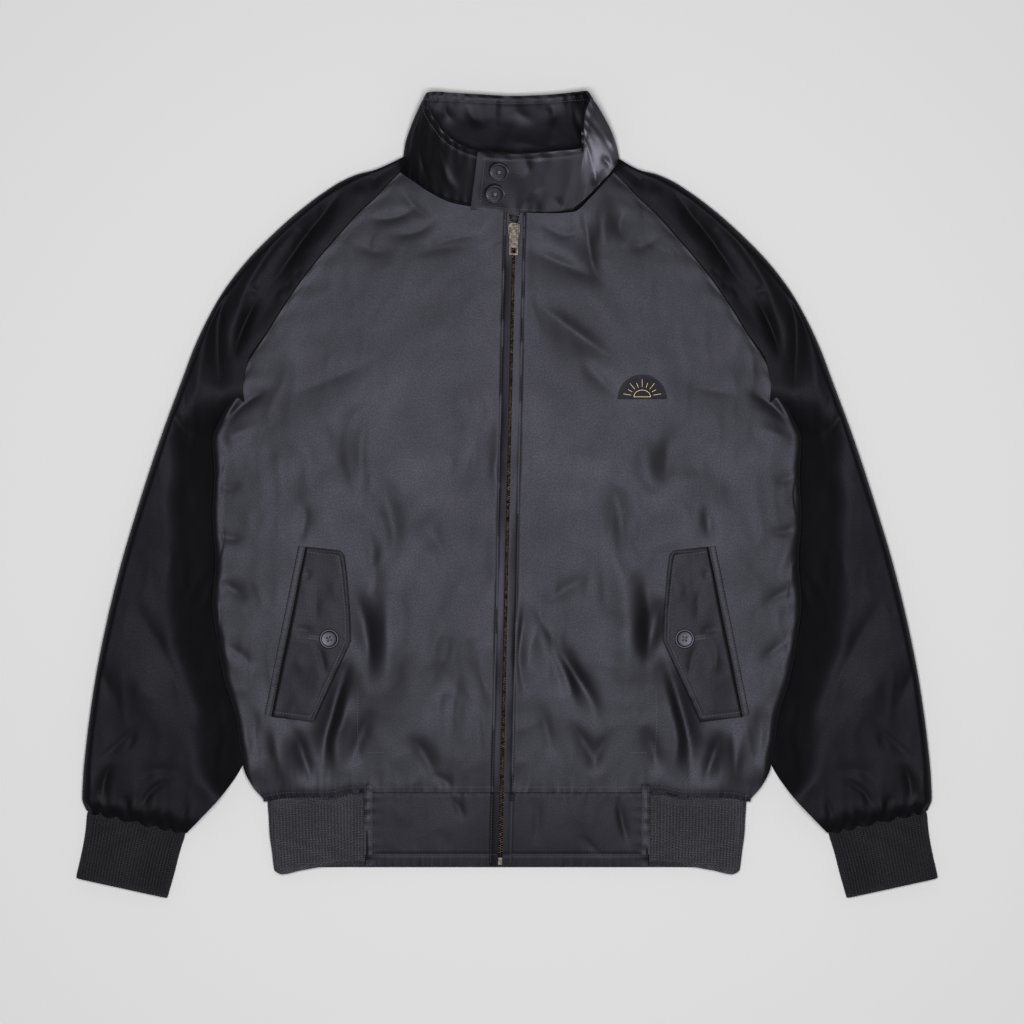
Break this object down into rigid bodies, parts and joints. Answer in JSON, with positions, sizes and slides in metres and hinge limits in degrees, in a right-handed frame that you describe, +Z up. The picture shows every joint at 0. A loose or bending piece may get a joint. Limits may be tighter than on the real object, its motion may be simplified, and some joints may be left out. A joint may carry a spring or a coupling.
{
  "type": "harrington jacket",
  "caption": "Zip-up harrington jacket laid flat on its back, with raglan sleeves, a buttoned stand collar, slanted flap pockets and knitted cuffs and hem.",
  "frame": {"origin": "on the floor under the middle of the jacket's bounding box", "axes": "+Z up from the floor, through the front; +Y from the hem to the collar; +X to the wearer's left"},
  "size_m": [0.862, 0.8044, 0.058],
  "materials": {
    "shell": "satin",
    "rib": "matte",
    "button": "satin",
    "tape": "matte",
    "brass": "antique",
    "patch": "satin"
  },
  "bodies": {
    "jacket": {"back": "shell", "chest_patch": "patch", "collar": "shell", "collar_button_lower": "button", "collar_button_upper": "button", "cuff_left": "rib", "cuff_right": "rib", "front_left": "shell", "front_right": "shell", "hem_band_left": "shell", "hem_band_right": "shell", "hem_rib": "rib", "hem_tab_left": "shell", "hem_tab_right": "shell", "pocket_button_left": "button", "pocket_button_right": "button", "pocket_flap_left": "shell", "pocket_flap_right": "shell", "pocket_welt_left": "shell", "pocket_welt_right": "shell", "sleeve_back_left": "shell", "sleeve_back_right": "shell", "sleeve_front_left": "shell", "sleeve_front_right": "shell", "zip_box": "brass", "zip_chain": "brass", "zip_slider": "brass", "zip_tape_left": "tape", "zip_tape_right": "tape"},
    "pull": {"zip_pull": "brass"}
  },
  "joints": [
    {"name": "pull_swing", "type": "hinge", "parent": "jacket", "child": "pull", "pos_m": [0.00704, 0.2658, 0.03492], "axis": [-0.9998, 0.0221, 0], "range_deg": [0, 150]}
  ]
}
